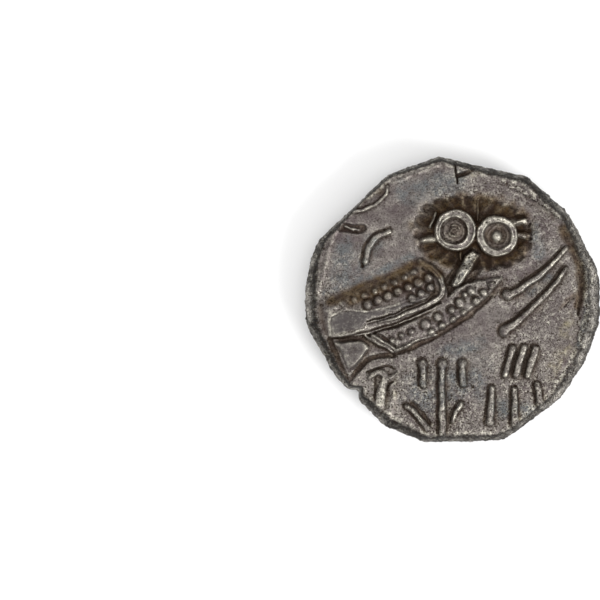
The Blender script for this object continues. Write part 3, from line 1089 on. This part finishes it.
def tonedSilver():
    material = bpy.data.materials.new("tonedSilver")
    material.use_nodes = True
    tree = material.node_tree
    shader = tree.nodes["Principled BSDF"]
    place = addNode(tree, "ShaderNodeTexCoord").outputs["Object"]
    sunk, proud, rough = readLayer(tree, "sunk"), readLayer(tree, "proud"), readLayer(tree, "rough")
    brown, yellow, edge = readLayer(tree, "brown"), readLayer(tree, "yellow"), readLayer(tree, "edge")
    blue, rim, calm, soot = [readLayer(tree, name) for name in ("blue", "rim", "calm", "soot")]

    def times(first, second):
        return combine(tree, "MULTIPLY", first, second, True)

    def plus(first, second):
        return combine(tree, "ADD", first, second, True)

    coarse, grain = noiseOf(tree, place, 1500, 4), noiseOf(tree, place, 6500, 3, 0.7)
    clouds = spreadOut(tree, noiseOf(tree, place, 330, 4), 0.4, 0.64)
    mottle = spreadOut(tree, noiseOf(tree, place, 900, 6, 0.7), 0.42, 0.66)
    colour = mixColours(tree, clouds, tone("purpleCloud"), tone("field"))
    colour = mixColours(tree, times(mottle, 0.75), colour, tone("lightField"))
    colour = mixColours(tree, times(blue, spreadOut(tree, coarse, 0.3, 0.6)), colour, tone("blueCloud"))
    colour = mixColours(tree, times(yellow, spreadOut(tree, coarse, 0.35, 0.65)), colour, tone("yellow"))
    colour = mixColours(tree, times(calm, 0.9), colour, tone("calm"))

    uneven = combine(tree, "SUBTRACT", 1, times(calm, 0.65), True)
    specks = spreadOut(tree, noiseOf(tree, place, 5200, 4, 0.75), 0.5, 0.64)
    light = times(times(specks, plus(plus(0.03, times(mottle, 0.3)), times(rough, 1.3))), uneven)
    worn = plus(times(proud, spreadOut(tree, noiseOf(tree, place, 2600, 3), 0.3, 0.62)), light)
    colour = mixColours(tree, worn, colour, mixColours(tree, brown, tone("worn"), tone("gold")))
    fine = noiseOf(tree, place, 11000, 2, 0.6)
    shade = plus(times(spreadOut(tree, fine, 0.5, 0.36), times(plus(0.55, times(rough, 1.3)), uneven)),
                 times(spreadOut(tree, noiseOf(tree, place, 1900, 6, 0.7), 0.46, 0.28), 0.5))
    covered = combine(tree, "SUBTRACT", 1, times(worn, 0.8), True)
    earth = times(times(brown, plus(0.72, times(sunk, 0.5))), covered)
    soil = mixColours(tree, plus(spreadOut(tree, coarse, 0.42, 0.62), sunk), tone("brown"), tone("darkBrown"))
    colour = mixColours(tree, earth, colour, soil)
    soot = times(soot, spreadOut(tree, coarse, 0.25, 0.5))
    colour = mixColours(tree, times(soot, 0.85), colour, tone("soot"))
    edgeTone = mixColours(tree, times(rim, spreadOut(tree, coarse, 0.35, 0.6)), tone("edge"), tone("rim"))
    colour = mixColours(tree, times(edge, 0.95), colour, edgeTone)
    flecks = times(edge, spreadOut(tree, noiseOf(tree, place, 5200, 3, 0.7), 0.5, 0.68))
    flecks = times(flecks, plus(0.08, times(rim, 0.75)))
    colour = mixColours(tree, flecks, colour, tone("worn"))
    bare = combine(tree, "SUBTRACT", 1, times(brown, 0.45), True)
    dark = plus(times(times(sunk, bare), spreadOut(tree, coarse, 0.15, 0.5)), shade)
    colour = mixColours(tree, dark, colour, tone("recess"))
    tree.links.new(colour, shader.inputs["Base Color"])

    dirt = combine(tree, "MAXIMUM", combine(tree, "MAXIMUM", earth, dark),
                   times(edge, combine(tree, "SUBTRACT", 0.95, plus(rim, flecks), True)))
    metal = combine(tree, "SUBTRACT", silver["metallic"], times(dirt, 0.75), True)
    tree.links.new(metal, shader.inputs["Metallic"])
    dull = plus(plus(silver["roughness"], times(grain, 0.15)), times(dirt, 0.25))
    tree.links.new(dull, shader.inputs["Roughness"])
    shader.inputs["Specular IOR Level"].default_value = 0.15

    bump = addNode(tree, "ShaderNodeBump")
    bump.inputs["Strength"].default_value = 0.9
    bump.inputs["Distance"].default_value = 0.00006
    unevenness = combine(tree, "ADD", combine(tree, "ADD", grain, coarse), combine(tree, "MULTIPLY", fine, 0.6))
    unevenness = combine(tree, "MULTIPLY", unevenness, combine(tree, "ADD", rough, 0.6))
    tree.links.new(unevenness, bump.inputs["Height"])
    tree.links.new(bump.outputs["Normal"], shader.inputs["Normal"])
    return material


# The set: a pale floor, a soft room, a wide panel overhead and a key panel from the lower right
stageSettings = {
    "photoSide": 600,
    "coinPixels": 294,
    "coinPlace": (452.5, 299.5),     # centre of the owl side in the photo's frame
    "lens": 300,
    "sensor": 36,
    "cameraLevel": 1.8,              # height of the coin's widest line, in millimetres
    "roomLight": 0.98,
    # name: place in metres, side of the square panel, brightness of its face
    "panels": {"overhead": ((-0.02, 0.03, 0.6), 0.36, 1.6), "key": ((0.22, -0.17, 0.2), 0.17, 10)},
}


def makeStage():
    side = 1.2
    floorMesh = bpy.data.meshes.new("paleFloor")
    corners = [(-side, -side, 0), (side, -side, 0), (side, side, 0), (-side, side, 0)]
    floorMesh.from_pydata(corners, [], [(0, 1, 2, 3)])
    floor = bpy.data.objects.new("paleFloor", floorMesh)
    floorMaterial = bpy.data.materials.new("palePaper")
    floorMaterial.use_nodes = True
    floorShader = floorMaterial.node_tree.nodes["Principled BSDF"]
    floorShader.inputs["Base Color"].default_value = (0.93, 0.93, 0.93, 1)
    floorShader.inputs["Roughness"].default_value = 0.9
    floorShader.inputs["Specular IOR Level"].default_value = 0
    floorMesh.materials.append(floorMaterial)
    bpy.context.scene.collection.objects.link(floor)

    world = bpy.data.worlds.new("softRoom")
    world.use_nodes = True
    world.node_tree.nodes["Background"].inputs["Color"].default_value = (1, 1, 1, 1)
    world.node_tree.nodes["Background"].inputs["Strength"].default_value = stageSettings["roomLight"]
    bpy.context.scene.world = world
    for name, (place, size, brightness) in stageSettings["panels"].items():
        light = bpy.data.lights.new(name, "AREA")
        light.size = size
        light.energy = brightness * math.pi * size ** 2
        lamp = bpy.data.objects.new(name, light)
        lamp.location = place
        lamp.rotation_euler = Vector(place).to_track_quat("Z", "Y").to_euler()
        bpy.context.scene.collection.objects.link(lamp)


def makeCamera():
    low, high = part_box("coin")
    width = high[0] - low[0]
    scale = width / stageSettings["coinPixels"]
    frameWidth = scale * stageSettings["photoSide"]
    half = stageSettings["photoSide"] / 2
    offX = (stageSettings["coinPlace"][0] - half) * scale
    offY = (half - stageSettings["coinPlace"][1]) * scale
    distance = frameWidth * stageSettings["lens"] / stageSettings["sensor"]
    lensData = bpy.data.cameras.new("photoCamera")
    lensData.lens = stageSettings["lens"]
    lensData.sensor_width = stageSettings["sensor"]
    lensData.clip_start, lensData.clip_end = 0.01, 5
    camera = bpy.data.objects.new("photoCamera", lensData)
    camera.location = ((low[0] + high[0]) / 2 - offX, (low[1] + high[1]) / 2 - offY,
                       distance + stageSettings["cameraLevel"] * millimetre)
    bpy.context.scene.collection.objects.link(camera)
    bpy.context.scene.camera = camera


coin = makeCoin()
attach(coin, "root")
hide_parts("coin")
makeStage()
makeCamera()
bpy.context.scene.view_settings.view_transform = "Standard"
